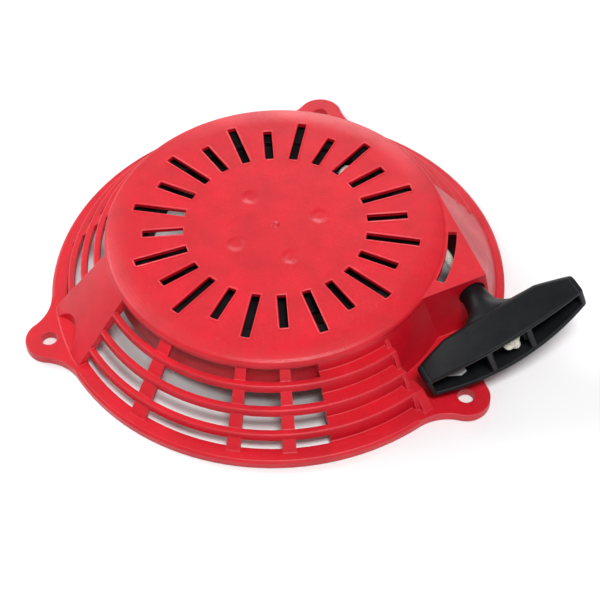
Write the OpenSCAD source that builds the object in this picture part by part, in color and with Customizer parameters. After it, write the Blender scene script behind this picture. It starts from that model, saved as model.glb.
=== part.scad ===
// Recoil starter for a small vertical-shaft engine.
// Z runs up along the reel's axis. The origin is the centre of the three bolt holes, on the mounting face.

/* [Case] */
// Height from the mounting face to the flat top
case_h = 37.6; // [37:0.2:38.4]
// Thickness of the top plate
plate_t = 2.2; // [1.8:0.1:2.6]
// Radius of the dome above the grille
dome_r = 75.3; // [75:0.1:76]
// Radius where the flat of the top starts to fall away
flat_r = 62.5; // [61:0.5:64]
// Outer radius of the mounting flange
flange_r = 102.4; // [101.8:0.1:103.2]
// Thickness of the mounting flange and its ears
flange_t = 4; // [3.6:0.1:4.4]
// Inner radius of the mounting flange
flange_in_r = 95.5; // [95:0.5:96]

/* [Bolt ears] */
// Diameter of the bolt circle
bolt_circle_d = 213; // [211:0.2:215]
// Diameter of each bolt hole
bolt_hole_d = 7.2; // [6.4:0.1:7.6]
// Radius of the rounded tip of an ear
ear_r = 10.4; // [9.5:0.1:11]
// Radius of the pocket that gives a socket room beside the case
pocket_r = 12.6; // [12:0.1:13]

/* [Grille] */
// Number of stepped bars between the dome and the flange
bar_count = 3; // [3:3]
// Outer radius of the first bar
bar_r = 80.9; // [80.7:0.1:81.1]
// Height of the first bar's flat top
bar_z = 27.2; // [27:0.1:27.4]
// How much each bar stands out from the one above
bar_out = 6.6; // [6.5:0.05:6.7]
// How much each bar lies below the one above
bar_down = 7.8; // [7.7:0.05:7.9]
// Width of a bar's flat top
bar_w = 2.75; // [2.4:0.05:3]
// Height of a bar's upright face
bar_t = 3.9; // [3.4:0.1:4.2]

/* [Top slots] */
// Number of slots around the top
slot_count = 24; // [24:24]
// Radius at which every slot starts
slot_in_r = 40; // [39:0.5:41]
// Radius at which the long slots end
slot_long_r = 64.2; // [62:0.2:65]
// Radius at which the short slots end
slot_short_r = 58.6; // [56:0.2:60]
// Width of a slot
slot_w = 4.6; // [4.2:0.1:5]

/* [Rope] */
// Diameter of the rope
rope_d = 4.4; // [4:0.1:4.6]
// Height of the rope above the mounting face
rope_z = 26.1; // [25.8:0.1:26.4]
// Distance of the rope's straight run from the reel's axis
rope_r = 63.8; // [63.4:0.1:64.2]
// Direction in which the rope is pulled
pull_az = -54.5; // [-55:0.5:-54]

/* [Reel] */
// Outer radius of the reel's two flanges
reel_r = 69.8; // [69:0.1:70]
// Radius of the bottom of the rope groove
groove_r = 58.2; // [58:0.1:58.4]
// Radius of the post that the reel turns on
post_r = 7; // [6.8:0.1:7.2]

/* [Grip] */
// Half of the grip's length across the hand
grip_half = 38; // [37:0.5:39]
// Half of the grip's thickness at its middle
grip_thick = 9.7; // [9.4:0.1:10]
// How far the grip is rolled about the rope at rest
grip_roll = 18; // [16:0.1:20]

/* [Hidden] */
$fn = 96;
eps = 0.02;
fit = 0.05;

RED = [0.86, 0.10, 0.15];
BLACK = [0.07, 0.08, 0.09];
STEEL = [0.66, 0.67, 0.69];
SPRING = [0.38, 0.40, 0.45];
BRASS = [0.80, 0.65, 0.30];
CREAM = [0.86, 0.84, 0.76];
PALE = [0.74, 0.74, 0.74];

// Case: angles are measured from +X, counter-clockwise from above.
EARS = [90, 210, 330];
FRONT_WINDOWS = [[221.3, 241.4], [245.8, 268.5], [272, 282.5], [285.9, 294.8]];
BACK_WINDOWS = [[101, 122.5], [126.9, 148.4], [152.8, 174.3], [178.8, 200.3]];
RIGHT_WINDOWS = [[48, 61.5], [66, 79.5]];
// Smooth solid bands of the side, behind the two ears that have no rope outlet beside them
PILLARS = [[79.5, 101], [200.3, 221.3]];
GRILLES = [[100, 201.3], [220.3, 295.8], [47, 80.5]];
// Stretches of the grille whose steps are closed
CLOSED = [[294.8, 319.5], [29.2, 48]];

plate_z = case_h - plate_t;
crown_drop = 1.6;
crown_w = 10.9;
crown_arc = (crown_w * crown_w + crown_drop * crown_drop) / (2 * crown_drop);
edge_r = 1.9;
dome_low_z = 32;
skin_t = 2.4;
rib_rise = 4.4;
rib_foot_z = 3;
rib_w = 3;
step_t = 2.2;
side_slope = bar_down / bar_out;
side_top_z = bar_z + side_slope * (bar_r - dome_r);
side_foot_r = dome_r + (side_top_z - flange_t) / side_slope;
ring_in_r = 71.3;
ring_out_r = 73.3;
ring_low_z = 16.6;
ear_fillet_r = 20;
pocket_lip = 0.2;
post_low_z = 10.75;
insert_r = 4.5;
insert_z = [11.6, 25];
screw_r = 2.9;
spring_slot_w = 1.5;

// Rope outlet: distances are measured along the pull direction from the reel's axis.
face_d = 63.7;
mouth_floor_d = 59.8;
mouth_r = 6.2;
eyelet_back_d = 55.6;
eyelet_r = 3.9;
outlet_top_z = 35.4;
outlet_wall = 2.2;
outlet_line_az = 30.7;
outlet_line_d = 74.8;
outlet_low_az = -27;
panel_foot_r = 98.9;
arc_slot = [75.6, 79.3];
arc_slot_az = [-14, 8];
grip_d = 60.8;

// Recess for the grip beside the outlet: a floor level with the flange, and a wall with some draft
recess_az = [-41, -16];
recess_foot_r = 80;
recess_floor_az = [-41, 13];
end_wall_az = [-41.6, -40.2];
rib_az = [-40.6, -38];
rib_top_z = 11.5;
rib_in_r = 88;

// Reel: heights
reel_top_z = rope_z + 6.5;
reel_low_z = rope_z - 6.5;
groove_half = 4.7;
rim_in_r = 56.2;
cup_in_r = 31;
cup_out_r = 33.4;
cup_floor_z = 22.1;
boss_r = 30;
boss_low_z = 11;
spoke_count = 6;
spoke_w = 5;
spoke_az = 32.5;
// The web between hub and rim, and its air windows as [from, to, inner radius]
web_z = [27.4, 29.6];
WEB_WINDOWS = [[157, 193, 36], [217, 229, 44], [294, 309, 46]];
wound_out_r = 66.6;
rope_start = 27;
knot_r = 4.2;
knot_az = 62.5;

// Ratchets and their guide
pawl_pivot = 19;
pawl_z = [7.5, 10.8];
pawl_pin_r = 2;
pawl_len = 14.5;
pawl_swing = 30;
guide_turn = 25;
guide_z = [5.4, 7.2];
guide_r = 23;
guide_pin_r = 1.1;
guide_pin_at = 8;
collar_r = 9.5;
washer_r = 8;
washer_z = [2.9, 5.2];
head_z = 0.7;
wire_r = 0.55;
coil_r = 3.1;

// Recoil spring: a flat strip wound from the post out to the reel's cup
strip_t = 0.6;
strip_z = [22.6, 32];
strip_in_r = 8.4;
strip_turns = 7.5;
strip_pitch = 2.75;
strip_step = 12;
strip_end_az = (strip_turns * 360) % 360;

// Grip: X is the pull, Y runs across the hand, Z is the thickness
grip_end_thick = 5.8;
grip_back = 15.6;
grip_front = 38.4;
grip_sweep = 8;
// The grip's back slopes like a wedge: its half thickness at the back, and its rise per unit forward.
grip_nose_half = 1.6;
grip_nose_rise = 1.27;
grip_bow = 5;
grip_wall = 2.2;
// The stem flares into the grip from this distance to this radius.
flare_x = 8;
flare_r = 9;
label_t = 0.5;
cell_rib = 9.6;
cell_rib_w = 2.4;
seat_x = 27.2;
stem_r = 4.8;
stem_root_r = 6.8;
stem_bore_r = 2.6;

function polar(r, a) = [r * cos(a), r * sin(a)];
function arc(c, r, a0, a1, n) = [for (i = [0 : n]) c + polar(r, a0 + (a1 - a0) * i / n)];
function turned(p, a) = [p.x * cos(a) - p.y * sin(a), p.x * sin(a) + p.y * cos(a)];
// Radius of a circle from its sagitta over half a chord
function bow_r(half, sag) = (half * half + sag * sag) / (2 * sag);
function bar_at(k) = [bar_r + k * bar_out, bar_z - k * bar_down];
// Middle of the strip after a number of degrees
function strip_at(a) = polar(strip_in_r + strip_pitch * a / 360, a);
// Middle of a ratchet's guide pin, seen from the guide, at a fraction of the swing
function pin_path(t) = turned([pawl_pivot, 0] + polar(guide_pin_at, -90 + pawl_swing * t), -guide_turn * t);

module tube(r_out, r_in, z0, z1) {
    difference() {
        translate([0, 0, z0]) cylinder(r = r_out, h = z1 - z0);
        translate([0, 0, z0 - 1]) cylinder(r = r_in, h = z1 - z0 + 2);
    }
}

module sector(span) {
    rotate([0, 0, span[0]]) rotate_extrude(angle = span[1] - span[0], $fn = 180) children();
}

// Frame whose X axis is the rope's straight run, starting beside the reel's axis
module along_rope(d = 0) {
    translate([rope_r * cos(pull_az + 90), rope_r * sin(pull_az + 90), rope_z])
        rotate([0, 0, pull_az]) translate([d, 0, 0]) children();
}

module rope_axis(d, len, r, r2 = -1) {
    along_rope(d) rotate([0, 90, 0]) cylinder(r1 = r, r2 = r2 < 0 ? r : r2, h = len);
}

module grip_frame() {
    along_rope(grip_d) rotate([grip_roll, 0, 0]) children();
}

// ---- Case ----

module dome_profile() {
    outer = concat([[0, case_h]], arc([flat_r, case_h - crown_arc], crown_arc, 90, 73.3, 6),
                   arc([dome_r - edge_r, side_top_z + 0.1], edge_r, 73.3, 0, 6), [[dome_r, dome_low_z]]);
    inner = [[ring_in_r, dome_low_z], [ring_in_r, plate_z - crown_drop], [flat_r, plate_z], [0, plate_z]];
    polygon(concat(outer, inner));
}

module side_profile() {
    low = side_slope * 1.4;
    polygon([[dome_r - skin_t, side_top_z - 0.3], [dome_r - 1, side_top_z - 0.3 + side_slope],
             [side_foot_r + 1, flange_t - side_slope], [side_foot_r + 1, 0.6], [side_foot_r - skin_t, 0.6],
             [side_foot_r - skin_t, flange_t - low], [dome_r - skin_t, side_top_z - 2.6 - low]]);
}

module recess_wall_profile() {
    polygon([[dome_r - skin_t, side_top_z - 1], [dome_r - 0.3, side_top_z + 0.8], [recess_foot_r, flange_t],
             [recess_foot_r, 0], [recess_foot_r - skin_t, 0], [recess_foot_r - skin_t, flange_t]]);
}

// Radial wall that closes the ends of the steps against the recess
module end_wall_profile() {
    inset = [0.15, 0.15];
    steps = [for (k = [0 : bar_count - 1]) each [bar_at(k) - [bar_w, 0] - inset, bar_at(k) - inset]];
    polygon(concat([[dome_r - 1, bar_z + rib_rise]], steps,
                   [[flange_in_r + 2, flange_t - 0.3], [flange_in_r + 2, 0.7], [recess_foot_r - skin_t - 0.3, 0.7]]));
}

// Recess under the grip: wall, floor, the end of the steps and a low rib in line with it
module grip_recess() {
    sector(recess_az) recess_wall_profile();
    sector(end_wall_az) end_wall_profile();
    sector(rib_az) polygon([[rib_in_r, 0.6], [rib_in_r, rib_top_z],
                            [side_foot_r - (rib_top_z - flange_t) / side_slope, rib_top_z],
                            [side_foot_r + 0.8, flange_t - 0.8 * side_slope], [side_foot_r + 0.8, 0.6]]);
    intersection() {
        sector(recess_floor_az) translate([recess_foot_r - 1, 0.1]) square([flange_in_r + 2 - recess_foot_r, flange_t - 0.2]);
        rotate([0, 0, pull_az]) translate([face_d - outlet_wall, -200, -1]) cube([400, 400, 10]);
    }
}

// The band behind the bars of the grille, which joins them between the windows
module rib_profile() {
    top = [bar_r - bar_w - rib_rise / side_slope, bar_z + rib_rise];
    foot = [bar_r - bar_w + (bar_z - rib_foot_z) / side_slope, rib_foot_z];
    polygon([top, foot, foot - [rib_w, 0], top - [rib_w, 0]]);
}

module bar_profile(k) {
    b = bar_at(k);
    polygon([[b.x - bar_w, b.y - bar_t], [b.x - bar_w, b.y], [b.x - 0.4, b.y], [b.x, b.y - 0.4], [b.x, b.y - bar_t]]);
}

// Closed stretch of the side, a stair whose edges run on from the bars
module step_profile() {
    t = step_t;
    proud = [0.1, 0.1];
    edges = [for (k = [0 : bar_count]) (k < bar_count ? bar_at(k) : [flange_in_r, flange_t - 0.9]) + proud];
    risers = [for (k = [0 : bar_count - 1]) [edges[k].x, edges[k].y, edges[k + 1].y]];
    outer = [for (q = risers) each [[q.x - 0.4, q.y], [q.x, q.y - 0.4], [q.x, q.z]]];
    inner = [for (i = [bar_count - 1 : -1 : 0]) each [[risers[i].x - t, risers[i].z - t], [risers[i].x - t, risers[i].y - t]]];
    low = [flange_in_r + 1.5, flange_t - 0.8];
    polygon(concat([[dome_r - t, dome_low_z + 1], [dome_r + proud.x, dome_low_z + 1], [dome_r + proud.x, bar_z + proud.y]], outer,
                   [low, low - [0, t]], inner, [[dome_r - t, bar_z - t]]));
}

module grille() {
    for (g = GRILLES) {
        sector(g) for (k = [0 : bar_count - 1]) bar_profile(k);
    }
    for (set = [FRONT_WINDOWS, BACK_WINDOWS, RIGHT_WINDOWS]) {
        for (i = [1 : len(set) - 1]) sector([set[i - 1][1], set[i][0]]) rib_profile();
    }
    for (c = CLOSED) sector(c) step_profile();
}

// An ear's outline: a round tip between two fillets that run out into the flange
module ear_outline(a) {
    reach = flange_r + ear_fillet_r;
    close = ear_r + ear_fillet_r;
    mid = bolt_circle_d / 2;
    spread = acos((reach * reach + mid * mid - close * close) / (2 * reach * mid));
    low = polar(reach, -spread);
    turn = atan2(-low.y, mid - low.x);
    side = arc(low, ear_fillet_r, 180 - spread, turn, 12);
    fillet = [for (i = [1 : 11]) side[i]];
    back = [for (i = [10 : -1 : 0]) [fillet[i].x, -fillet[i].y]];
    root = flange_r - 0.15;
    rotate(a) polygon(concat([polar(flange_in_r + 1, -spread), polar(root, -spread)], fillet,
                             arc([mid, 0], ear_r, turn - 180, 180 - turn, 32), back,
                             [polar(root, spread), polar(flange_in_r + 1, spread)]));
}

module flange() {
    rotate_extrude($fn = 180) polygon([[flange_in_r, 0], [flange_r, 0], [flange_r, flange_t - 1],
                                       [flange_r - 1, flange_t], [flange_in_r, flange_t]]);
    for (a = EARS) linear_extrude(flange_t) ear_outline(a);
    for (a = [EARS[0], EARS[1]]) ear_pocket_wall(a);
}

module ear_pocket_wall(a) {
    intersection() {
        rotate([0, 0, a]) translate([bolt_circle_d / 2, 0, 0.3]) cylinder(r = pocket_r + 2, h = side_top_z);
        rotate_extrude($fn = 180) polygon([[86, 0], [side_foot_r - 0.2, 0], [side_foot_r - 0.2, flange_t],
                                           [86, flange_t + side_slope * (side_foot_r - 86) - 0.25]]);
    }
}

// Plan of the rope outlet's top, pulled in by a wall thickness
module outlet_plan(wall, foot) {
    side = wall / 2;
    intersection() {
        circle(r = foot ? panel_foot_r - wall : 130);
        rotate(outlet_line_az) translate([-200, -200]) square([200 + (foot ? 200 : outlet_line_d - wall), 400]);
        rotate(pull_az) translate([-200, -200]) square([200 + face_d - wall, 400]);
        polygon([[0, 0], polar(150, outlet_low_az), polar(150, outlet_line_az - side)]);
    }
}

module outlet_solid(wall) {
    hull() {
        translate([0, 0, outlet_top_z - wall - 1]) linear_extrude(1) outlet_plan(wall, false);
        translate([0, 0, wall > 0 ? -1 : 0.6]) linear_extrude(flange_t - 0.9) outlet_plan(wall, true);
    }
}

// Thick seat for the eyelet in the front wall of the rope outlet
module mouth_seat() {
    intersection() {
        outlet_solid(0);
        rope_axis(eyelet_back_d, 10, mouth_r + 2.2);
    }
}

module post() {
    difference() {
        translate([0, 0, post_low_z]) cylinder(r = post_r, h = plate_z - post_low_z + 0.5);
        translate([post_r - 3.2, -spring_slot_w / 2, strip_z[0] - 0.5]) cube([post_r, spring_slot_w, 12]);
        translate([0, 0, post_low_z - 1]) cylinder(r = insert_r, h = insert_z[1] - post_low_z + 1);
    }
    for (a = [25 : 90 : 295]) translate(concat(polar(20, a), plate_z - 1.2)) cylinder(r = 4, h = 2);
}

module top_slots() {
    for (i = [0 : slot_count - 1]) {
        end_r = i % 2 == 0 ? slot_long_r : slot_short_r;
        rotate([0, 0, i * 360 / slot_count])
            translate([slot_in_r, -slot_w / 2, plate_z - 4]) cube([end_r - slot_in_r, slot_w, 10]);
    }
}

module at_ears() {
    for (a = EARS) rotate([0, 0, a]) translate([bolt_circle_d / 2, 0, 0]) children();
}

// Side of the case with the rope outlet hollowed into it
module side_shell() {
    difference() {
        union() {
            tube(ring_out_r, ring_in_r, ring_low_z, plate_z);
            for (p = PILLARS) sector(p) side_profile();
            grille();
            grip_recess();
            outlet_solid(0);
        }
        outlet_solid(outlet_wall);
        translate([0, 0, -1]) cylinder(r = ring_in_r, h = plate_z + 1);
    }
}

module case() {
    color(RED) difference() {
        union() {
            side_shell();
            rotate_extrude($fn = 180) dome_profile();
            flange();
            mouth_seat();
            post();
        }
        at_ears() translate([0, 0, flange_t + pocket_lip]) cylinder(r = pocket_r, h = case_h / 2);
        at_ears() translate([0, 0, -1]) cylinder(d = bolt_hole_d, h = 20);
        top_slots();
        sector(arc_slot_az) translate([arc_slot[0], outlet_top_z - 6]) square([arc_slot[1] - arc_slot[0], 12]);
        rope_axis(mouth_floor_d, 12, mouth_r);
        rope_axis(eyelet_back_d - 1, 10, eyelet_r);
    }
}

module post_insert() {
    color(BRASS) tube(insert_r, screw_r, insert_z[0], insert_z[1]);
}

module rope_eyelet() {
    lip = 0.8;
    bore = rope_d / 2 + 0.5;
    color(STEEL) difference() {
        union() {
            rope_axis(eyelet_back_d, mouth_floor_d - eyelet_back_d + eps, eyelet_r);
            rope_axis(mouth_floor_d, lip, mouth_r - 0.3);
        }
        rope_axis(eyelet_back_d - 1, 8, bore);
    }
}

// ---- Reel and rope ----

module reel_rim() {
    rotate_extrude($fn = 180) polygon([
        [rim_in_r, reel_low_z], [reel_r, reel_low_z], [reel_r, reel_low_z + 1.2], [groove_r, rope_z - groove_half],
        [groove_r, rope_z + groove_half], [reel_r, reel_top_z - 1.2], [reel_r, reel_top_z], [rim_in_r, reel_top_z]]);
}

module reel_hub() {
    rotate_extrude($fn = 120) polygon([
        [post_r + fit, boss_low_z], [boss_r, boss_low_z], [boss_r, reel_low_z], [cup_out_r, reel_low_z],
        [cup_out_r, reel_top_z], [cup_in_r, reel_top_z], [cup_in_r, cup_floor_z], [post_r + fit, cup_floor_z]]);
}

module reel_web() {
    translate([0, 0, web_z[0]]) linear_extrude(web_z[1] - web_z[0]) difference() {
        circle(r = rim_in_r + 1, $fn = 180);
        circle(r = cup_out_r - 1, $fn = 120);
        translate(polar(rim_in_r - knot_r - 0.1, knot_az)) circle(r = knot_r + 0.8, $fn = 48);
        for (w = WEB_WINDOWS) polygon(concat(arc([0, 0], w[2], w[0], w[1], 8), arc([0, 0], rim_in_r + 3, w[1], w[0], 8)));
    }
}

module reel() {
    color(BLACK) difference() {
        union() {
            reel_rim();
            reel_hub();
            reel_web();
            for (i = [0 : spoke_count - 1]) rotate([0, 0, spoke_az + i * 360 / spoke_count])
                translate([cup_out_r - 1, -spoke_w / 2, reel_low_z + 2])
                    cube([rim_in_r - cup_out_r + 2, spoke_w, reel_top_z - reel_low_z - 4]);
        }
        // Hole for the rope's inner end, notch for the spring's outer end, holes for the ratchets' pins
        rotate([0, 0, knot_az]) translate([rim_in_r - 2, 0, rope_z]) rotate([0, 90, 0]) cylinder(r = rope_d / 2 + 0.3, h = 6);
        rotate([0, 0, strip_end_az]) translate([cup_in_r - 1, -1, strip_z[0] - 0.5]) cube([4, 2, 20]);
        for (s = [0, 180]) rotate([0, 0, s]) translate([pawl_pivot, 0, boss_low_z - 1]) {
            cylinder(r = pawl_pin_r + fit, h = 6);
            cylinder(r = coil_r + 0.7, h = 3.6);
        }
    }
}

module recoil_spring() {
    steps = strip_turns * 360 / strip_step;
    mid = [for (i = [0 : steps]) strip_at(i * strip_step)];
    edge = [for (i = [0 : steps]) polar(strip_t / 2, i * strip_step)];
    inner_tail = post_r - 2.2;
    outer_tail = cup_in_r + 1.6;
    color(SPRING) translate([0, 0, strip_z[0]]) linear_extrude(strip_z[1] - strip_z[0]) {
        polygon(concat([for (i = [0 : steps]) mid[i] + edge[i]], [for (i = [steps : -1 : 0]) mid[i] - edge[i]]));
        translate([inner_tail, -strip_t / 2]) square([strip_in_r - inner_tail, strip_t]);
        rotate(strip_end_az) translate([norm(strip_at(strip_turns * 360)), -strip_t / 2])
            square([outer_tail - norm(strip_at(strip_turns * 360)), strip_t]);
    }
}

module wound_rope() {
    color(CREAM) difference() {
        union() {
            rotate_extrude($fn = 120) polygon([
                [groove_r + 0.05, rope_z - groove_half + 0.4], [wound_out_r, rope_z - groove_half + 0.1],
                [wound_out_r, rope_z + groove_half - 0.1], [groove_r + 0.05, rope_z + groove_half - 0.4]]);
            rotate([0, 0, knot_az]) translate([rim_in_r - 0.5, 0, rope_z]) rotate([0, 90, 0]) cylinder(r = rope_d / 2, h = 4);
        }
    }
}

module reel_knot() {
    color(CREAM) rotate([0, 0, knot_az]) translate([rim_in_r - knot_r - 0.1, 0, rope_z]) sphere(r = knot_r, $fn = 48);
}

module rope_lead() {
    color(CREAM) rope_axis(rope_start, grip_d + seat_x - rope_start, rope_d / 2);
}

// ---- Ratchets, guide and centre screw ----

module ratchet() {
    color(STEEL) translate([pawl_pivot, 0, 0]) {
        translate([0, 0, pawl_z[0]]) cylinder(r = 4, h = pawl_z[1] - pawl_z[0]);
        translate([0, 0, pawl_z[0]]) linear_extrude(pawl_z[1] - pawl_z[0])
            polygon([[-3.4, -2], [3.8, -1], [3.4, -pawl_len + 2.5], [1.6, -pawl_len], [-0.6, -pawl_len + 0.6]]);
        translate([0, 0, pawl_z[1] - 1]) cylinder(r = pawl_pin_r, h = boss_low_z + 4.6 - pawl_z[1] + 1);
        translate([0, -guide_pin_at, guide_z[0] + 0.2]) cylinder(r = guide_pin_r, h = pawl_z[0] - guide_z[0]);
    }
}

module ratchet_1() { ratchet(); }

module ratchet_2() { rotate([0, 0, 180]) ratchet(); }

// Two turns of wire around a ratchet's pin, with one leg on the ratchet and one in the reel
module ratchet_spring() {
    color(SPRING) translate([pawl_pivot, 0, boss_low_z]) {
        for (i = [0 : 1]) translate([0, 0, 0.7 + 1.15 * i]) rotate_extrude($fn = 48) translate([coil_r, 0]) circle(r = wire_r, $fn = 16);
        translate([coil_r, 0, 0.5]) cylinder(r = wire_r, h = 1.8, $fn = 16);
    }
}

module ratchet_spring_1() { ratchet_spring(); }

module ratchet_spring_2() { rotate([0, 0, 180]) ratchet_spring(); }

module ratchet_guide() {
    color(BLACK) difference() {
        union() {
            translate([0, 0, guide_z[0]]) cylinder(r = guide_r, h = guide_z[1] - guide_z[0]);
            translate([0, 0, guide_z[0]]) cylinder(r = collar_r, h = post_low_z - 0.15 - guide_z[0]);
        }
        translate([0, 0, guide_z[0] - 1]) cylinder(r = screw_r + fit, h = 12);
        for (s = [0, 180]) rotate([0, 0, s]) for (t = [0 : 0.125 : 1])
            translate(concat(pin_path(t), guide_z[0] - 1)) cylinder(r = guide_pin_r + 0.5, h = guide_z[1] - guide_z[0] + 2, $fn = 24);
        rotate([0, 0, 90]) translate([washer_r + 1.1, 0, guide_z[0] - 1]) cylinder(r = wire_r + 0.02, h = 3, $fn = 24);
    }
}

module friction_spring() {
    color(SPRING) translate([0, 0, guide_z[0] - 1.05]) {
        rotate([0, 0, 90]) rotate_extrude(angle = 320) translate([washer_r + 1.1, 0]) circle(r = wire_r, $fn = 16);
        rotate([0, 0, 90]) translate([washer_r + 1.1, 0, -0.1]) cylinder(r = wire_r, h = 2.6, $fn = 24);
    }
}

module collar_washer() {
    color(STEEL) tube(washer_r, screw_r + fit, washer_z[0], washer_z[1]);
}

module centre_screw() {
    color(STEEL) difference() {
        union() {
            translate([0, 0, head_z]) cylinder(r = 5.6, h = washer_z[0] - head_z, $fn = 6);
            translate([0, 0, washer_z[0] - 0.7]) cylinder(r = 6.4, h = 0.7);
            translate([0, 0, head_z + 0.5]) cylinder(r = screw_r, h = insert_z[1] - 1.5 - head_z);
        }
        translate([0, 0, head_z - 0.5]) cylinder(r = 2.6, h = 1.3, $fn = 6);
    }
}

// ---- Grip ----

module grip_lens(inset) {
    r = bow_r(grip_half, grip_thick - grip_end_thick);
    intersection() {
        translate([0, grip_thick - r]) circle(r = r - inset, $fn = 360);
        translate([0, r - grip_thick]) circle(r = r - inset, $fn = 360);
        square([2 * (grip_half - inset), 4 * grip_thick], center = true);
    }
}

module grip_plan(inset) {
    front = bow_r(grip_half, grip_bow);
    back = bow_r(grip_half, grip_sweep);
    intersection() {
        translate([grip_front - front, 0]) circle(r = front + (inset > 0 ? 9 : 0), $fn = 360);
        translate([grip_back + back, 0]) circle(r = back - inset, $fn = 360);
        translate([0, inset - grip_half]) square([grip_front + 9, 2 * (grip_half - inset)]);
    }
}

module grip_nose(inset) {
    tip = grip_back + inset * grip_nose_rise - 1;
    low = grip_nose_half - grip_nose_rise;
    high = grip_thick + 1;
    run = (high - low) / grip_nose_rise;
    polygon([[tip, low], [tip + run, high], [grip_front + 12, high], [grip_front + 12, -high],
             [tip + run, -high], [tip, -low]]);
}

module grip_bar(inset) {
    intersection() {
        translate([0, 0, -grip_thick - 1]) linear_extrude(2 * grip_thick + 2) grip_plan(inset);
        rotate([90, 0, 90]) linear_extrude(grip_front + 12) grip_lens(inset);
        translate([0, grip_half + 1, 0]) rotate([90, 0, 0]) linear_extrude(2 * grip_half + 2) grip_nose(inset);
    }
}

module grip() {
    color(BLACK) grip_frame() difference() {
        union() {
            difference() {
                grip_bar(0);
                grip_bar(grip_wall);
            }
            intersection() {
                grip_bar(0);
                union() {
                    for (s = [-1, 1]) translate([grip_back - 2, s * cell_rib - cell_rib_w / 2, -20]) cube([40, cell_rib_w, 40]);
                    translate([grip_back - 2, -cell_rib, -20]) cube([seat_x - grip_back + 2, 2 * cell_rib, 40]);
                }
            }
            rotate([0, 90, 0]) cylinder(r1 = stem_r, r2 = stem_root_r, h = grip_back + 3.5);
            translate([flare_x, 0, 0]) rotate([0, 90, 0]) cylinder(r1 = stem_r, r2 = flare_r, h = seat_x - 3 - flare_x);
        }
        translate([-1, 0, 0]) rotate([0, 90, 0]) cylinder(r = stem_bore_r, h = seat_x + 2);
    }
}

module grip_washer() {
    color(STEEL) grip_frame() difference() {
        translate([seat_x, 0, 0]) rotate([0, 90, 0]) cylinder(r = 5.2, h = 0.9);
        translate([seat_x - 1, 0, 0]) rotate([0, 90, 0]) cylinder(r = stem_bore_r, h = 3);
    }
}

module grip_knot() {
    color(CREAM) grip_frame() translate([seat_x + 0.85 + knot_r, 0, 0]) sphere(r = knot_r, $fn = 48);
}

module grip_label() {
    color(PALE) grip_frame() intersection() {
        translate([0, 0, -20]) linear_extrude(18) polygon([[24, -33.5], [25.7, -33.7], [31.7, -23], [31, -20], [24, -20]]);
        rotate([90, 0, 90]) linear_extrude(50) difference() {
            grip_lens(grip_wall);
            grip_lens(grip_wall + label_t);
        }
    }
}

case();
post_insert();
rope_eyelet();
reel();
recoil_spring();
ratchet_1();
ratchet_2();
ratchet_spring_1();
ratchet_spring_2();
ratchet_guide();
friction_spring();
collar_washer();
centre_screw();
wound_rope();
reel_knot();
rope_lead();
grip();
grip_washer();
grip_knot();
grip_label();
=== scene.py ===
# %% [markdown]
# # A recoil starter, finished in Blender
# The fixed frame comes from the CAD model: every body, joint and size is already settled there.
# This lesson gives the frame its finish: moulded plastic, steel, brass and braided rope.
# Loading comes first, because each piece takes its place from the frame.

# %% Load the frame
import bmesh
import bpy
import math
import numpy as np
from mathutils import Matrix, Vector


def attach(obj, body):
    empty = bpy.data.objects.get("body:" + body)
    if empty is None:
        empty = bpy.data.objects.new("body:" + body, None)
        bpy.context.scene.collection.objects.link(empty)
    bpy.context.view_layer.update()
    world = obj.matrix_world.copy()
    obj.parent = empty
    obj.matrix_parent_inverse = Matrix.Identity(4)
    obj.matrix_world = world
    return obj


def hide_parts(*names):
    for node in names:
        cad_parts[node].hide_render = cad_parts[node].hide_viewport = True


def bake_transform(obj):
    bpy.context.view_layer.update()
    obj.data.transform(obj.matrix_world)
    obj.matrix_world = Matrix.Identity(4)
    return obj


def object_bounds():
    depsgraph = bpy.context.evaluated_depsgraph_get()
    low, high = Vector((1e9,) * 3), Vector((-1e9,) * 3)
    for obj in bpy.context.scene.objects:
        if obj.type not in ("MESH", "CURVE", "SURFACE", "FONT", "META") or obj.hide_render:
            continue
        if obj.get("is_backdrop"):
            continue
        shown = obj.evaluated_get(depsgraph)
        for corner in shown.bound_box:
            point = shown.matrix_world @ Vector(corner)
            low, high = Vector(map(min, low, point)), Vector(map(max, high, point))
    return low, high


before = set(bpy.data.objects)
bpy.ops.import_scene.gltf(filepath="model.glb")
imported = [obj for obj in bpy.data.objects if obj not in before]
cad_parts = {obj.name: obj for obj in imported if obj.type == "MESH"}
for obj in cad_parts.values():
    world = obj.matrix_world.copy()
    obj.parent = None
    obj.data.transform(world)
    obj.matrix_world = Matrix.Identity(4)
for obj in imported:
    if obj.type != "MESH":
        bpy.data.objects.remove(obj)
cad_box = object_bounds()
MM = 0.001
print("nodes in the frame:", len(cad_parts))

# %% [markdown]
# ## The camera
# The camera stands in front of the starter, above it and a little to its right, and is rolled about two degrees.
# A matrix made of its own right, up and backward directions says this exactly, which angles by hand wouldn't.

# %% Camera
CAMERA_AT = np.array([111.06, -460.4, 554.4]) * MM
LOOKS_AT = np.array([18.71, -40.38, 37.6]) * MM
CAMERA_ROLL = math.radians(2.10)
LENS = 95.99


def unit(v):
    """A vector divided by its own length."""
    v = np.asarray(v, float)
    return v / np.linalg.norm(v)


ahead = unit(LOOKS_AT - CAMERA_AT)
level_right = unit(np.cross(ahead, [0, 0, 1]))
level_up = np.cross(level_right, ahead)
right = level_right * math.cos(CAMERA_ROLL) - level_up * math.sin(CAMERA_ROLL)
up = level_right * math.sin(CAMERA_ROLL) + level_up * math.cos(CAMERA_ROLL)

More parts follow.
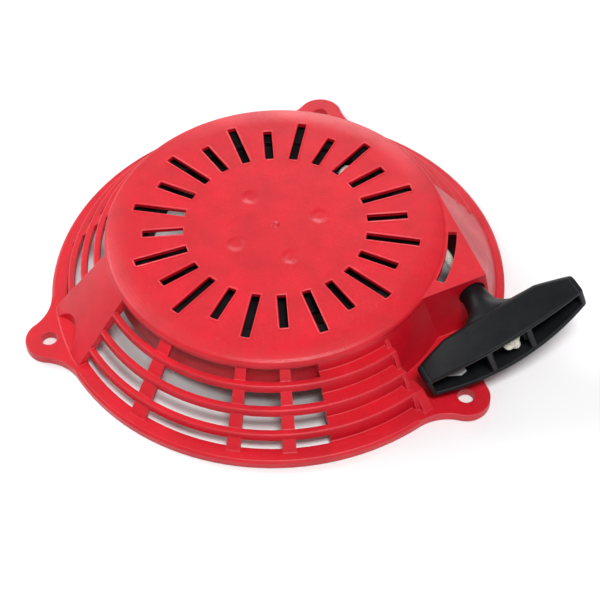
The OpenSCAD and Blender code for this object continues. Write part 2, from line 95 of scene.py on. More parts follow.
camera = bpy.data.objects.new("camera", bpy.data.cameras.new("camera"))
bpy.context.collection.objects.link(camera)
camera.data.lens = LENS
camera.data.sensor_width = 36
pose = Matrix.Identity(4)
for row in range(3):
    pose[row][0], pose[row][1], pose[row][2], pose[row][3] = right[row], up[row], -ahead[row], CAMERA_AT[row]
camera.matrix_world = pose
bpy.context.scene.camera = camera
print("camera at", CAMERA_AT.round(3))

# %% [markdown]
# ## Floor and light
# A small moulded part is shown best on a plain pale floor under wide soft lights.
# The main light hangs in front and above, where it draws the sheen on the front shoulder.
# The other two open the shadows.
# The plain colour transform keeps a strong red strong, where a film-like one would turn it pink.

# %% Floor and lights
FLOOR_HALF, FLOOR_GAP = 4.0, 0.0004
floor_mesh = bpy.data.meshes.new("floor")
floor_z = float(cad_box[0][2]) - FLOOR_GAP
floor_corners = [(x * FLOOR_HALF, y * FLOOR_HALF, floor_z) for x, y in ((-1, -1), (1, -1), (1, 1), (-1, 1))]
floor_mesh.from_pydata(floor_corners, [], [(0, 1, 2, 3)])
floor = bpy.data.objects.new("floor", floor_mesh)
bpy.context.collection.objects.link(floor)
floor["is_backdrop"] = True
floor_paint = bpy.data.materials.new("floor_paint")
floor_paint.use_nodes = True
floor_shader = floor_paint.node_tree.nodes["Principled BSDF"]
floor_shader.inputs["Base Color"].default_value = (0.86, 0.86, 0.87, 1)
floor_shader.inputs["Roughness"].default_value = 0.7
floor_mesh.materials.append(floor_paint)

world = bpy.data.worlds.new("studio")
world.use_nodes = True
world.node_tree.nodes["Background"].inputs["Color"].default_value = (1, 1, 1, 1)
world.node_tree.nodes["Background"].inputs["Strength"].default_value = 0.30
bpy.context.scene.world = world
bpy.context.scene.view_settings.view_transform = "Standard"


def soft_light(name, place, size, watts):
    """A square area light at a place, turned to face the middle of the starter."""
    lamp = bpy.data.lights.new(name, "AREA")
    lamp.shape, lamp.size, lamp.energy = "SQUARE", size, watts
    lamp_object = bpy.data.objects.new(name, lamp)
    lamp_object.location = place
    lamp_object.rotation_euler = (Vector((0, 0, 0.02)) - Vector(place)).to_track_quat("-Z", "Y").to_euler()
    bpy.context.collection.objects.link(lamp_object)
    return lamp_object


soft_light("key_above", (0.25, -0.50, 1.15), 0.30, 13.0)
soft_light("left_fill", (-0.9, 0.3, 0.7), 0.5, 6.0)
soft_light("back_rim", (-0.1, 1.1, 0.35), 0.5, 4.0)
print("floor at", round(floor_z, 4), "with three soft lights")

# %% [markdown]
# ## Shared effects
# Every moulded face has a fine grain from its mould, a small radius on each edge, and a little dust on top.
# These are three node groups, made once here and placed in each material with its own numbers.

# %% Node group helpers
def new_group(name, inputs, outputs):
    """An empty shader group with named inputs (name, kind, value) and outputs (name, kind)."""
    group = bpy.data.node_groups.new(name, "ShaderNodeTree")
    for label, kind, value in inputs:
        socket = group.interface.new_socket(label, in_out="INPUT", socket_type="NodeSocket" + kind)
        if value is not None:
            socket.default_value = value
    for label, kind in outputs:
        group.interface.new_socket(label, in_out="OUTPUT", socket_type="NodeSocket" + kind)
    return group, group.nodes.new("NodeGroupInput"), group.nodes.new("NodeGroupOutput")


def node(tree, kind, links=None, **settings):
    """One node, with settings for its properties or sockets and links from other sockets into its inputs."""
    made = tree.nodes.new("ShaderNode" + kind)
    for key, value in settings.items():
        setattr(made, key, value)
    for key, value in (links or {}).items():
        if isinstance(value, bpy.types.NodeSocket):
            tree.links.new(value, made.inputs[key])
        else:
            made.inputs[key].default_value = value
    return made


def ramp(tree, value, low, high, to_low=0.0, to_high=1.0):
    """A value moved from the range low..high to to_low..to_high, and held inside it."""
    made = node(tree, "MapRange", {0: value, 1: low, 2: high, 3: to_low, 4: to_high}, clamp=True)
    return made.outputs[0]


# %% [markdown]
# ### Mould grain
# Spark-eroded moulds leave a fine grain. It could be an image, but noise worked out in the part's own space needs no
# unwrapping and has no seams. Sparse pits over the noise stop it looking even.

# %% Mould grain group
# Height is fine noise plus sparse pits, Tone is a slow cloud over the part and Speck is fine dark spots.
# All three are in the part's own space.
grain, grain_in, grain_out = new_group("mould_grain", [("Scale", "Float", 2500.0)],
                                       [("Height", "Float"), ("Tone", "Float"), ("Speck", "Float")])
where = node(grain, "TexCoord").outputs["Object"]
fine = node(grain, "TexNoise", {"Vector": where, "Scale": grain_in.outputs["Scale"], "Detail": 3.0, "Roughness": 0.6})
pits = node(grain, "TexVoronoi", {"Vector": where, "Scale": 1400.0})
cloud = node(grain, "TexNoise", {"Vector": where, "Scale": 55.0, "Detail": 4.0, "Roughness": 0.6})
pit_depth = ramp(grain, pits.outputs["Distance"], 0.0, 0.25)
height = node(grain, "Math", {0: fine.outputs[0], 1: pit_depth}, operation="ADD")
grain.links.new(height.outputs[0], grain_out.inputs["Height"])
grain.links.new(ramp(grain, cloud.outputs[0], 0.3, 0.7), grain_out.inputs["Tone"])
speck_noise = node(grain, "TexNoise", {"Vector": where, "Scale": 900.0, "Detail": 2.0})
grain.links.new(ramp(grain, speck_noise.outputs[0], 0.60, 0.72), grain_out.inputs["Speck"])

# %% [markdown]
# ### Rounded edges
# A bevel on the exact CAD mesh would change its faces and its size. The shader can round the edge's shading only,
# which is enough for radii under a millimetre.

# %% Rounded edge group
# The Bevel node gives the normal that a small radius would have. Where it leaves the flat face's normal is an edge,
# so one minus the dot product of the two is a mask of the edges, which the finishes lighten as wear and painted
# highlight.
edges, edges_in, edges_out = new_group("rounded_edges", [("Radius", "Float", 0.0005)],
                                       [("Normal", "Vector"), ("Mask", "Float")])
rounded = node(edges, "Bevel", {"Radius": edges_in.outputs["Radius"]}, samples=6)
flat_normal = node(edges, "NewGeometry").outputs["Normal"]
alike = node(edges, "VectorMath", {0: rounded.outputs[0], 1: flat_normal}, operation="DOT_PRODUCT")
apart = node(edges, "Math", {0: 1.0, 1: alike.outputs["Value"]}, operation="SUBTRACT")
edges.links.new(rounded.outputs[0], edges_out.inputs["Normal"])
edges.links.new(ramp(edges, apart.outputs[0], 0.02, 0.25), edges_out.inputs["Mask"])

# %% [markdown]
# ### Dust
# Dust could be painted on, but then it would not follow the shape. Worked out from the normal it lies where it settles.

# %% Dust group
# Dust settles on faces that look up, in uneven patches: the upward part of the normal times two noises.
dust, dust_in, dust_out = new_group("settled_dust", [("Amount", "Float", 0.2)], [("Mask", "Float")])
where = node(dust, "TexCoord").outputs["Object"]
upward = node(dust, "SeparateXYZ", {0: node(dust, "NewGeometry").outputs["Normal"]}).outputs["Z"]
patches = node(dust, "TexNoise", {"Vector": where, "Scale": 70.0, "Detail": 5.0, "Roughness": 0.7})
on_top, in_patches = ramp(dust, upward, 0.2, 0.9), ramp(dust, patches.outputs[0], 0.42, 0.75)
settled = node(dust, "Math", {0: on_top, 1: in_patches}, operation="MULTIPLY")
scaled = node(dust, "Math", {0: settled.outputs[0], 1: dust_in.outputs["Amount"]}, operation="MULTIPLY")
dust.links.new(scaled.outputs[0], dust_out.inputs["Mask"])
print("groups:", [g.name for g in bpy.data.node_groups])

# %% [markdown]
# ## Finishes
# The case is satin red polypropylene with a fine grain, the reel and the grip are black glass-filled nylon,
# and the small parts are zinc-plated, sprung or turned metal. One builder makes all the hard finishes,
# because they differ only in colour, sheen, grain, wear and a painted highlight on the edges.

# %% Hard finishes
def place_group(tree, group, **values):
    """A node that shows a shared group, with some of its inputs set."""
    made = tree.nodes.new("ShaderNodeGroup")
    made.node_tree = group
    for key, value in values.items():
        made.inputs[key].default_value = value
    return made


def blend_colours(tree, factor, first, second):
    """Two colours mixed by a factor, where each may be a socket or a colour."""
    made = node(tree, "Mix", {0: factor}, data_type="RGBA")
    for index, colour in ((6, first), (7, second)):
        if isinstance(colour, bpy.types.NodeSocket):
            tree.links.new(colour, made.inputs[index])
        else:
            made.inputs[index].default_value = (*colour, 1)
    return made.outputs[2]


def hard_finish(name, colour, deep, edge_wear_and_highlight, gloss, metal=0.0, grain_scale=2500.0, grain_depth=0.00003, edge=0.0005,
                dusty=0.15, dust_colour=(0.5, 0.42, 0.38), edge_wear_and_highlight_amount=0.5, specular=0.5, speck=0.25):
    """A moulded or metal finish: colour clouded towards deep, lightened on the edges as wear and painted highlight,
    dusted on top, with grain.
    """
    paint = bpy.data.materials.new(name)
    paint.use_nodes = True
    tree = paint.node_tree
    shader = tree.nodes["Principled BSDF"]
    grained = place_group(tree, grain, Scale=grain_scale)
    edged = place_group(tree, edges, Radius=edge)
    dusted = place_group(tree, dust, Amount=dusty)
    clouded = blend_colours(tree, grained.outputs["Tone"], colour, deep)
    specked = blend_colours(tree, ramp(tree, grained.outputs["Speck"], 0, 1, 0, speck), clouded, deep)
    # The edges are mixed towards a lighter colour: partly wear, partly a painted highlight.
    edges_worn_and_lit = blend_colours(tree, ramp(tree, edged.outputs["Mask"], 0, 1, 0, edge_wear_and_highlight_amount), specked, edge_wear_and_highlight)
    covered = blend_colours(tree, dusted.outputs["Mask"], edges_worn_and_lit, dust_colour)
    tree.links.new(covered, shader.inputs["Base Color"])
    tree.links.new(ramp(tree, grained.outputs["Tone"], 0, 1, gloss - 0.04, gloss + 0.06), shader.inputs["Roughness"])
    relief = node(tree, "Bump", {"Height": grained.outputs["Height"], "Normal": edged.outputs["Normal"],
                                 "Distance": grain_depth, "Strength": 0.8})
    tree.links.new(relief.outputs[0], shader.inputs["Normal"])
    shader.inputs["Metallic"].default_value = metal
    shader.inputs["Specular IOR Level"].default_value = specular
    return paint


# %% [markdown]
# ### One finish for eight materials
# Eight separate shaders would drift apart. One function with different numbers keeps them related, so the zinc and the
# spring steel differ only where the real materials do, and the slot lips are the case's red made lighter as a painted
# highlight.

# %% The eight hard finishes
# Each has its colour, its deep colour, its edge colour for wear and painted highlight, and its roughness, then what
# differs from the usual.
case_red = hard_finish("case_red", (0.66, 0.004, 0.018), (0.50, 0.001, 0.010), (0.85, 0.10, 0.13), 0.40,
                       grain_scale=1500.0, grain_depth=0.00014, edge=0.0008, dusty=0.03,
                       dust_colour=(0.70, 0.12, 0.13), edge_wear_and_highlight_amount=0.5, speck=0.45)
# The lips are the case's own plastic; their lighter red is a painted highlight.
lip_red = hard_finish("lip_red", (0.74, 0.03, 0.05), (0.62, 0.01, 0.022), (0.90, 0.20, 0.22), 0.30,
                      grain_scale=1500.0, edge=0.0002, dusty=0.02, dust_colour=(0.8, 0.3, 0.3), edge_wear_and_highlight_amount=0.3, speck=0.2)
reel_black = hard_finish("reel_black", (0.005, 0.005, 0.006), (0.003, 0.003, 0.004), (0.02, 0.02, 0.022), 0.55,
                         dusty=0.02, specular=0.2)
grip_black = hard_finish("grip_black", (0.005, 0.0055, 0.007), (0.003, 0.0035, 0.0045), (0.06, 0.06, 0.07), 0.45,
                         grain_scale=2200.0, edge=0.0006, dusty=0.05, dust_colour=(0.12, 0.12, 0.13), edge_wear_and_highlight_amount=0.6,
                         specular=0.18)
spring_steel = hard_finish("spring_steel", (0.33, 0.34, 0.36), (0.22, 0.23, 0.26), (0.55, 0.55, 0.56), 0.30,
                           metal=1.0, grain_scale=5200.0, edge=0.0002, dusty=0.03)
zinc_steel = hard_finish("zinc_steel", (0.58, 0.59, 0.62), (0.44, 0.45, 0.48), (0.75, 0.75, 0.76), 0.34,
                         metal=1.0, grain_scale=3800.0, edge=0.0003, dusty=0.04)
insert_brass = hard_finish("insert_brass", (0.64, 0.45, 0.20), (0.52, 0.35, 0.15), (0.85, 0.68, 0.38), 0.30,
                           metal=1.0, grain_scale=3800.0, edge=0.0003, dusty=0.03)
label_grey = hard_finish("label_grey", (0.86, 0.86, 0.84), (0.78, 0.78, 0.77), (0.90, 0.90, 0.89), 0.55,
                         grain_scale=3500.0, edge=0.0002, dusty=0.1)

# %% [markdown]
# ## Sink marks
# The marks are shallow. Cutting them into the exact CAD mesh would remake its flat top, so a bump by distance from a
# centre stands in for them: it gives the highlight, but no real dent.

# %% Sink marks on the case
# Where thick posts stand behind a thin plate, the plastic shrinks and leaves four shallow dimples round the middle,
# and the gate that fed the mould leaves one pip. Each is a smooth bump by distance from its own centre.
SINK_R, SINK_ANGLES, PLATE_TOP = 20 * MM, (25, 134, 224, 301), 0.0376
tree = case_red.node_tree
where = node(tree, "TexCoord").outputs["Object"]
dents = None
for angle in SINK_ANGLES:
    centre = (SINK_R * math.cos(math.radians(angle)), SINK_R * math.sin(math.radians(angle)), PLATE_TOP)
    away = node(tree, "VectorMath", {0: where, 1: centre}, operation="DISTANCE").outputs["Value"]
    dent = node(tree, "MapRange", {0: away, 1: 0.0015, 2: 0.0048, 3: 0.0, 4: 1.0}, clamp=True,
                interpolation_type="SMOOTHSTEP").outputs[0]
    dents = dent if dents is None else node(tree, "Math", {0: dents, 1: dent}, operation="MULTIPLY").outputs[0]
gate = node(tree, "VectorMath", {0: where, 1: (0.0, 0.0, PLATE_TOP)}, operation="DISTANCE").outputs["Value"]
pip = node(tree, "MapRange", {0: gate, 1: 0.0010, 2: 0.0020, 3: 1.2, 4: 0.0}, clamp=True).outputs[0]
dished = node(tree, "Math", {0: dents, 1: pip}, operation="ADD").outputs[0]
grain_relief = next(n for n in tree.nodes if n.bl_idname == "ShaderNodeBump")
sink_relief = node(tree, "Bump", {"Height": dished, "Distance": 0.0006, "Strength": 1.0})
tree.links.new(grain_relief.outputs[0], sink_relief.inputs["Normal"])
tree.links.new(sink_relief.outputs[0], tree.nodes["Principled BSDF"].inputs["Normal"])
print("hard finishes:", len(bpy.data.materials))

# %% [markdown]
# ## Rope finish
# The starter rope is a braided polyester cord, off-white, with painted shade darkening the grooves between its strands.
# The braid itself is in the mesh, and an attribute called groove carries its depth, so that the painted shade follows
# it.

# %% Rope finish
def rope_finish(name, strand_colour, groove_painted_shade):
    """Braided fibre: painted shade in the grooves low in the braid, strand colour on top, dark flecks, and a fuzz of
    fibres.
    """
    fibre = bpy.data.materials.new(name)
    fibre.use_nodes = True
    tree = fibre.node_tree
    shader = tree.nodes["Principled BSDF"]
    groove = node(tree, "Attribute", attribute_name="groove").outputs["Fac"]
    where = node(tree, "TexCoord").outputs["Object"]
    flecks = node(tree, "TexNoise", {"Vector": where, "Scale": 1300.0, "Detail": 3.0}).outputs[0]
    fibres = node(tree, "TexNoise", {"Vector": where, "Scale": 6000.0, "Detail": 2.0}).outputs[0]
    # Low in the braid the colour goes dark: painted shade in the grooves.
    strands_and_groove_shade = blend_colours(tree, ramp(tree, groove, 0.0, 0.7), groove_painted_shade, strand_colour)
    marked = blend_colours(tree, ramp(tree, flecks, 0.60, 0.68, 0, 0.8), strands_and_groove_shade, (0.10, 0.09, 0.09))
    tree.links.new(marked, shader.inputs["Base Color"])
    fuzz = node(tree, "Bump", {"Height": fibres, "Distance": 0.0001, "Strength": 0.7})
    tree.links.new(fuzz.outputs[0], shader.inputs["Normal"])
    shader.inputs["Roughness"].default_value = 0.8
    shader.inputs["Sheen Weight"].default_value = 0.2
    return fibre


rope_white = rope_finish("rope_white", (0.80, 0.76, 0.66), (0.16, 0.14, 0.11))
# A darker copy of the same rope: painted shade for the turns inside the case.
rope_soiled = rope_finish("rope_soiled", (0.16, 0.15, 0.13), (0.02, 0.02, 0.02))

# %% [markdown]
# ## Surfaces from grids
# Each new piece is a grid of points worked out as one array. A grid that closes on itself in both directions is a ring,
# and one that ends in two small rings closes there with a point, so no piece is left open.

# %% Grid helper
def grid_piece(name, grids, finish, body=None, attribute=None):
    """Joins grids of points (rows, columns, 3) into one piece. Columns always wrap round. Rows wrap round too where the
    grid is marked as a ring, and otherwise each end row closes on its own middle point."""
    points, faces, values, base = [], [], [], 0
    for grid, ring, *value in grids:
        rows, columns = grid.shape[:2]
        index = np.arange(rows * columns).reshape(rows, columns) + base
        low = index if ring else index[:-1]
        high = np.roll(index, -1, axis=0) if ring else index[1:]
        quads = np.stack([low, np.roll(low, -1, axis=1), np.roll(high, -1, axis=1), high], axis=-1).reshape(-1, 4)
        faces += quads.tolist()
        points.append(grid.reshape(-1, 3))
        base += rows * columns
        if not ring:
            points.append(np.stack([grid[0].mean(axis=0), grid[-1].mean(axis=0)]))
            first = np.stack([np.full(columns, base), np.roll(index[0], -1), index[0]], axis=-1)
            last = np.stack([np.full(columns, base + 1), index[-1], np.roll(index[-1], -1)], axis=-1)
            faces += first.tolist() + last.tolist()
            base += 2
        if attribute:
            values.append(value[0].ravel())
            values += [] if ring else [np.ones(2)]
    mesh = bpy.data.meshes.new(name)
    mesh.from_pydata((np.concatenate(points) * MM).tolist(), [], faces)
    mesh.polygons.foreach_set("use_smooth", np.ones(len(mesh.polygons), bool))
    if attribute:
        carried = mesh.attributes.new(attribute, "FLOAT", "POINT")
        carried.data.foreach_set("value", np.concatenate(values).astype(np.float32))
    tidy_normals(mesh)
    mesh.materials.append(finish)
    piece = bpy.data.objects.new(name, mesh)
    bpy.context.collection.objects.link(piece)
    if body:
        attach(piece, body)
    print(name, "faces:", len(mesh.polygons))
    return piece


def tidy_normals(mesh):
    """Turns every closed shell of a mesh so that its faces point outwards."""
    work = bmesh.new()
    work.from_mesh(mesh)
    bmesh.ops.recalc_face_normals(work, faces=work.faces)
    work.to_mesh(mesh)
    work.free()


def rounded_loop(corners, radii, steps=5):
    """Closed outlines with rounded corners. Corners is (rows, count, 2). Each corner becomes a curve from a point one
    radius before it to a point one radius after it, pulled towards the corner: (1-t)^2 A + 2t(1-t) C + t^2 B."""
    corners = np.asarray(corners, float)
    before, after = np.roll(corners, 1, axis=1) - corners, np.roll(corners, -1, axis=1) - corners
    radii = np.broadcast_to(np.asarray(radii, float), corners.shape[:2])[..., None]
    start = corners + before / np.linalg.norm(before, axis=-1, keepdims=True) * radii
    end = corners + after / np.linalg.norm(after, axis=-1, keepdims=True) * radii
    t = np.linspace(0, 1, steps)[:, None]
    curve = (1 - t) ** 2 * start[:, :, None] + 2 * t * (1 - t) * corners[:, :, None] + t ** 2 * end[:, :, None]
    return curve.reshape(corners.shape[0], -1, 2)


def tube_grid(path, radius, sides, ring, relief=None):
    """A tube round a path: at each point a circle across the path's direction, turned by a fixed reference."""
    path = np.asarray(path, float)
    along = (np.roll(path, -1, axis=0) - np.roll(path, 1, axis=0)) if ring else np.gradient(path, axis=0)
    along /= np.linalg.norm(along, axis=1, keepdims=True)
    reference = np.where(np.abs(along @ np.array([0, 0, 1.0]))[:, None] < 0.9, [[0, 0, 1.0]], [[1.0, 0, 0]])
    side = np.cross(along, reference)
    side /= np.linalg.norm(side, axis=1, keepdims=True)
    third = np.cross(side, along)
    angle = np.linspace(0, 2 * math.pi, sides, endpoint=False)
    reach = radius if relief is None else radius + relief
    reach = np.broadcast_to(reach, (len(path), sides))[..., None]
    circle = np.cos(angle)[None, :, None] * side[:, None] + np.sin(angle)[None, :, None] * third[:, None]
    return path[:, None] + reach * circle


def braid(lengths, sides, strands=8, pitch=9.0, depth=0.28):
    """Braid relief: two sets of strands wind in opposite ways, and the surface is as high as the higher of the two,
    each a rounded wave of the angle plus or minus the distance along the rope. Returns the relief and its 0 to
    1 height."""
    angle = np.linspace(0, 2 * math.pi, sides, endpoint=False)[None]
    turn = 2 * math.pi * np.asarray(lengths)[:, None] / pitch
    over = np.abs(np.sin(strands / 2 * (angle + turn)))
    under = np.abs(np.sin(strands / 2 * (angle - turn)))
    high = np.sqrt(over * under)
    return (high - 1) * depth, high


# %% [markdown]
# ## Lips round the grille slots
# The plate has twenty-four long slots, and the mould leaves a small rounded lip round each, which catches the light.
# A thin tube along each slot's outline makes it: the outline is a rectangle with small round corners.

# %% Slot lips
SLOT_COUNT, SLOT_IN, SLOT_LONG, SLOT_SHORT, SLOT_WIDE, TOP_Z = 24, 40.0, 64.2, 58.6, 4.6, 37.6
lips = []
for number in range(SLOT_COUNT):
    outer = SLOT_LONG if number % 2 == 0 else SLOT_SHORT
    wide = SLOT_WIDE / 2
    outline = rounded_loop([[(SLOT_IN, -wide), (outer, -wide), (outer, wide), (SLOT_IN, wide)]], 0.9, 6)[0]
    lengthwise = np.linspace(0, 1, 12)[:, None]
    outline = np.concatenate([a + (b - a) * lengthwise[:-1] if np.linalg.norm(b - a) > 3 else a[None]
                              for a, b in zip(outline, np.roll(outline, -1, axis=0))])
    az = 2 * math.pi * number / SLOT_COUNT
    turned = outline @ np.array([[math.cos(az), math.sin(az)], [-math.sin(az), math.cos(az)]])
    drop = np.where(outline[:, 0] > 62.5, 0.05, 0.0)
    lips.append((tube_grid(np.column_stack([turned, TOP_Z - 0.18 - drop]), 0.46, 8, True), True))
# The lips take the lighter red, a painted highlight along each slot.
slot_lips = grid_piece("slot_lips", lips, lip_red, "case_body")

# %% [markdown]
# ## The rope
# The rope runs straight from the reel through the eyelet and the stem to its knot inside the grip. It is taut, so it
# is a straight tube with the braid in its surface.

# %% Rope frame
PULL = math.radians(-54.5)
ROPE_R, ROPE_Z, GRIP_D, ROPE_D, SEAT = 63.8, 26.1, 60.8, 4.4, 27.2
pull_way = np.array([math.cos(PULL), math.sin(PULL), 0.0])
across_way = np.array([-math.sin(PULL), math.cos(PULL), 0.0])
rope_root = np.array([ROPE_R * math.cos(PULL + math.pi / 2), ROPE_R * math.sin(PULL + math.pi / 2), ROPE_Z])
ROLL = math.radians(18)
grip_across = across_way * math.cos(ROLL) + np.array([0, 0, math.sin(ROLL)])
grip_up = -across_way * math.sin(ROLL) + np.array([0, 0, math.cos(ROLL)])


def in_grip(x, y, z):
    """A point of the grip's own frame: x along the pull, y across, z through its thickness."""
    x, y, z = np.broadcast_arrays(x, y, z)
    return rope_root + (GRIP_D + x)[..., None] * pull_way + y[..., None] * grip_across + z[..., None] * grip_up


# %% [markdown]
# ### The straight lead
# The lead is a tube with braid relief.

# %% Rope lead
ROPE_FROM, ROPE_TO = 27.0, GRIP_D + 27.6
lengths = np.linspace(ROPE_FROM, ROPE_TO, 260)
relief, high = braid(lengths, 48)
lead = tube_grid(rope_root + lengths[:, None] * pull_way, ROPE_D / 2, 48, False, relief)
rope_lead = grid_piece("rope_lead_braid", [(lead, False, high)], rope_white, attribute="groove")
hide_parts("rope_lead")
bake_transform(rope_lead)

# %% [markdown]
# ### The turns on the reel
# The real rope winds in a spiral, of which only slivers show between the slots. Four closed rings fill the same channel
# with a simpler grid each, and turn with the reel.

# %% Rope on the reel
turns = []
for ring_r, ring_z in ((60.55, -2.25), (60.55, 2.25), (64.35, -2.25), (64.35, 2.25)):
    steps = np.linspace(0, 2 * math.pi, 520, endpoint=False)
    ring_path = np.column_stack([ring_r * np.cos(steps), ring_r * np.sin(steps), np.full(520, ROPE_Z + ring_z)])
    relief, high = braid(steps / (2 * math.pi) * 9.0 * 42, 20)
    turns.append((tube_grid(ring_path, ROPE_D / 2, 20, True, relief), True, high))
# The turns take the darkened rope finish, painted shade for the dark inside of the case.
wound = grid_piece("rope_turns", turns, rope_soiled, "reel_body", attribute="groove")
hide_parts("wound_rope")


# %% [markdown]
# ### The two knots
# A knot could be sculpted, or simulated by pulling a loop tight. The trefoil's formula gives a true overhand knot at
# once, and its thickness decides how tight it looks.

# %% Knots
def knot_grids(centre, first, second, third, size=0.86):
    """An overhand knot as a trefoil: sin t + 2 sin 2t, cos t - 2 cos 2t and minus sin 3t, carried by a braided tube,
    with one cut end."""
    t = np.linspace(0, 2 * math.pi, 220, endpoint=False)
    a, b, c = size * (np.sin(t) + 2 * np.sin(2 * t)), size * (np.cos(t) - 2 * np.cos(2 * t)), -1.5 * np.sin(3 * t)
    path = centre + a[:, None] * first + b[:, None] * second + c[:, None] * third
    relief, high = braid(t * 7.0, 28, depth=0.2)
    tail = np.linspace(0, 1, 24)[:, None]
    tail_path = centre + tail * (3.4 * second + 1.2 * first) + tail * 2.0 * third
    tail_relief, tail_high = braid(tail[:, 0] * 5, 28, depth=0.2)
    return [(tube_grid(path, 1.65, 28, True, relief), True, high),
            (tube_grid(tail_path, 1.6, 28, False, tail_relief), False, tail_high)]


knot_centre = in_grip(np.array(SEAT + 0.85 + 5.6), np.array(2.0), np.array(0.4))
grip_knot = grid_piece("knot_in_grip", knot_grids(knot_centre, grip_across, grip_up, pull_way, 1.0), rope_white,
                       "grip_body", attribute="groove")
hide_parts("grip_knot")
KNOT_AZ = math.radians(62.5)
outward = np.array([math.cos(KNOT_AZ), math.sin(KNOT_AZ), 0.0])
sideways = np.array([-math.sin(KNOT_AZ), math.cos(KNOT_AZ), 0.0])
inner_knot_at = outward * 51.9 + [0, 0, ROPE_Z]
inner_knot = knot_grids(inner_knot_at, sideways, np.array([0, 0, 1.0]), outward, 0.8)
reel_knot = grid_piece("knot_on_reel", inner_knot, rope_white, "reel_body", attribute="groove")
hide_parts("reel_knot")

# %% [markdown]
# ## The grip
# The grip is a hollow moulded T-handle, open to the front, with two ribs and a seat for the washer and knot.
# Its section is a C with a sloped back and rounded corners. The C is carried along the grip, while a bowed front,
# a swept back and a lens of thickness change it.

# %% Grip shape
HALF, THICK, END_THICK, BACK, FRONT, SWEEP, BOW, WALL = 38.0, 9.7, 5.8, 15.6, 38.4, 8.0, 5.0, 2.2
NOSE_HALF, NOSE_RISE = 1.6, 1.27


def bow(width, sag, y):
    """How far a circle arc with this sag over this half width has fallen at y."""
    radius = (width ** 2 + sag ** 2) / (2 * sag)
    return radius - np.sqrt(radius ** 2 - y ** 2)


def sweep_back(y):
    """How far the back has swept forward at y: a hyperbola, flat at the stem and nearly straight towards the tips."""
    rounding = 0.18
    fall = np.sqrt((y / HALF) ** 2 + rounding ** 2) - rounding
    return SWEEP * fall / (math.sqrt(1 + rounding ** 2) - rounding)


def outline_numbers(y, inset=0.0):
    """Half thickness, back and front of the grip at y, and where the sloped back reaches the full thickness."""
    top = THICK - bow(HALF, THICK - END_THICK, y) - inset
    back = BACK + sweep_back(y) + inset
    front = FRONT - bow(HALF, BOW, y) - inset
    low = np.maximum(NOSE_HALF, NOSE_HALF + (back - BACK) * NOSE_RISE)
    low = np.minimum(low, top - 1.6)
    return top, back, front, low, back + (top - low) / NOSE_RISE


def c_section(y):
    """Corners of the C at each y: outside top, sloped back and bottom, then the inside, a wall's thickness in."""
    top, back, front, low, full = outline_numbers(y)
    inner, inner_back = top - WALL, back + WALL
    inner_low = np.minimum(low, inner - 0.8)
    inner_full = inner_back + (inner - inner_low) / NOSE_RISE
    rows = [(front, top), (full, top), (back, low), (back, -low), (full, -top), (front, -top),
            (front, -inner), (inner_full, -inner), (inner_back, -inner_low),
            (inner_back, inner_low), (inner_full, inner), (front, inner)]
    return np.stack([np.stack(np.broadcast_arrays(*corner), axis=-1) for corner in rows], axis=1)


C_RADII = [0.75, 1.6, 1.2, 1.2, 1.6, 0.75, 0.75, 0.8, 0.6, 0.6, 0.8, 0.75]
y_rows = np.linspace(-35.9, 35.9, 97)
loops = rounded_loop(c_section(y_rows), C_RADII, 6)
shell = in_grip(loops[..., 0], np.broadcast_to(y_rows[:, None], loops.shape[:2]), loops[..., 1])

# %% [markdown]
# ### The ends of the grip
# The hollow section stops at an end wall. The wall starts from the same outline without the hollow, so that the two
# meet without a step.

# %% Grip ends
# An end wall is the whole lens section, a full rounded rectangle, whose last rows shrink on a quarter circle.
round_off = np.linspace(0, math.pi / 2, 7)
end_y = np.concatenate([[35.8, 36.4], 36.9 + 1.1 * np.sin(round_off)])
end_inset = np.concatenate([[0.01, 0.01], 0.01 + 1.1 * (1 - np.cos(round_off))])
top, back, front, low, full = outline_numbers(end_y, end_inset)
end_corners = [(front, top), (full, top), (back, low), (back, -low), (full, -top), (front, -top)]
END_RADII = [0.75, 1.4, 1.0, 1.0, 1.4, 0.75]
end_loop = rounded_loop(np.stack([np.stack(corner, -1) for corner in end_corners], axis=1), END_RADII, 8)
end_across = np.broadcast_to(end_y[:, None], end_loop.shape[:2])
ends = [in_grip(end_loop[..., 0], side * end_across, end_loop[..., 1]) for side in (-1, 1)]


# %% [markdown]
# ### Ribs, seat and stem
# The ribs and the seat are blocks with rounded corners that run into the walls. The stem is turned about the rope and
# flares where it meets the bar, which is where the pull is carried.

# %% Grip ribs, seat and stem
def slab(x0, x1, y0, y1, z_half, radius):
    """A block across the grip: a rounded rectangle in x and y, carried through the thickness."""
    outline = rounded_loop([[(x0, y0), (x1, y0), (x1, y1), (x0, y1)]], radius, 6)[0]
    z_rows = np.array([-z_half, -z_half + 0.4, z_half - 0.4, z_half])
    return in_grip(outline[None, :, 0], outline[None, :, 1], z_rows[:, None])


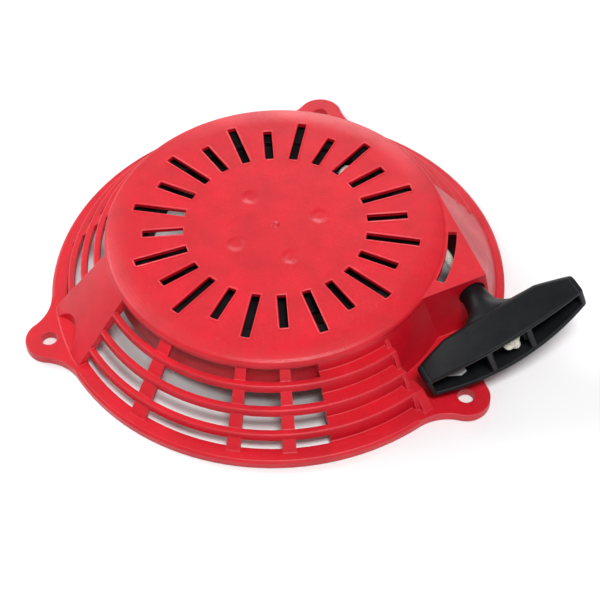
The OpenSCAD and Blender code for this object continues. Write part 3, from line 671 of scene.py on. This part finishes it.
RIB_Y, LEDGE_Y = 9.6, 8.0
ribs = [slab(BACK + 8.4, FRONT - 0.6, side * RIB_Y - 1.2, side * RIB_Y + 1.2, THICK - 1.0, [0.3, 0.7, 0.7, 0.3])
        for side in (-1, 1)]
ledges = [slab(SEAT - 1.0, FRONT - 4.5, side * LEDGE_Y - 0.9, side * LEDGE_Y + 0.9, THICK - 5.0, [0.2, 0.5, 0.5, 0.2])
          for side in (-1, 1)]
seat = slab(BACK + 7.9, SEAT, -9.0, 9.0, THICK - 1.0, 0.4)
stem_x = np.array([-0.05, 0.0, 0.5, 4.0, 7.0, 9.5, 12.0, 14.5, 17.0, 19.5, 22.5])
stem_r = np.array([3.2, 5.0, 5.4, 5.7, 5.95, 6.2, 6.5, 7.0, 7.6, 8.3, 8.5])
stretch = np.array([1, 1, 1, 1, 1, 1.02, 1.08, 1.25, 1.6, 2.1, 2.6])
around = np.linspace(0, 2 * math.pi, 48, endpoint=False)
stem = in_grip(stem_x[:, None], (stem_r * stretch)[:, None] * np.cos(around), stem_r[:, None] * np.sin(around))
solid = [(part, False) for part in (shell, *ends, *ribs, *ledges, seat, stem)]
grip_piece = grid_piece("pull_grip", solid, grip_black, "grip_body")
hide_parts("grip")

# %% [markdown]
# ## Finishes on the CAD parts
# The rest of the starter keeps its CAD shapes, which are exact. Each takes the finish of the real part, given in a
# table by node name and put in every material slot it has.

# %% Finish the frame's own parts
FINISH_OF = {"case": case_red, "reel": reel_black, "ratchet_guide": reel_black, "post_insert": insert_brass,
             "rope_eyelet": zinc_steel, "collar_washer": zinc_steel, "centre_screw": zinc_steel,
             "grip_washer": zinc_steel,
             "ratchet_1": zinc_steel, "ratchet_2": zinc_steel, "recoil_spring": spring_steel,
             "friction_spring": spring_steel,
             "ratchet_spring_1": spring_steel, "ratchet_spring_2": spring_steel, "grip_label": label_grey}
for name, finish in FINISH_OF.items():
    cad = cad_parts[name]
    if not cad.material_slots:
        cad.data.materials.append(finish)
    for place in cad.material_slots:
        place.material = finish
print("finished CAD parts:", len(FINISH_OF))

# %% Sizes and finish
visual_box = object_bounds()
boxes = {"cad": cad_box, "visual": visual_box}
for key, box in boxes.items():
    print(key, "box", np.round(np.array(box), 4).tolist())
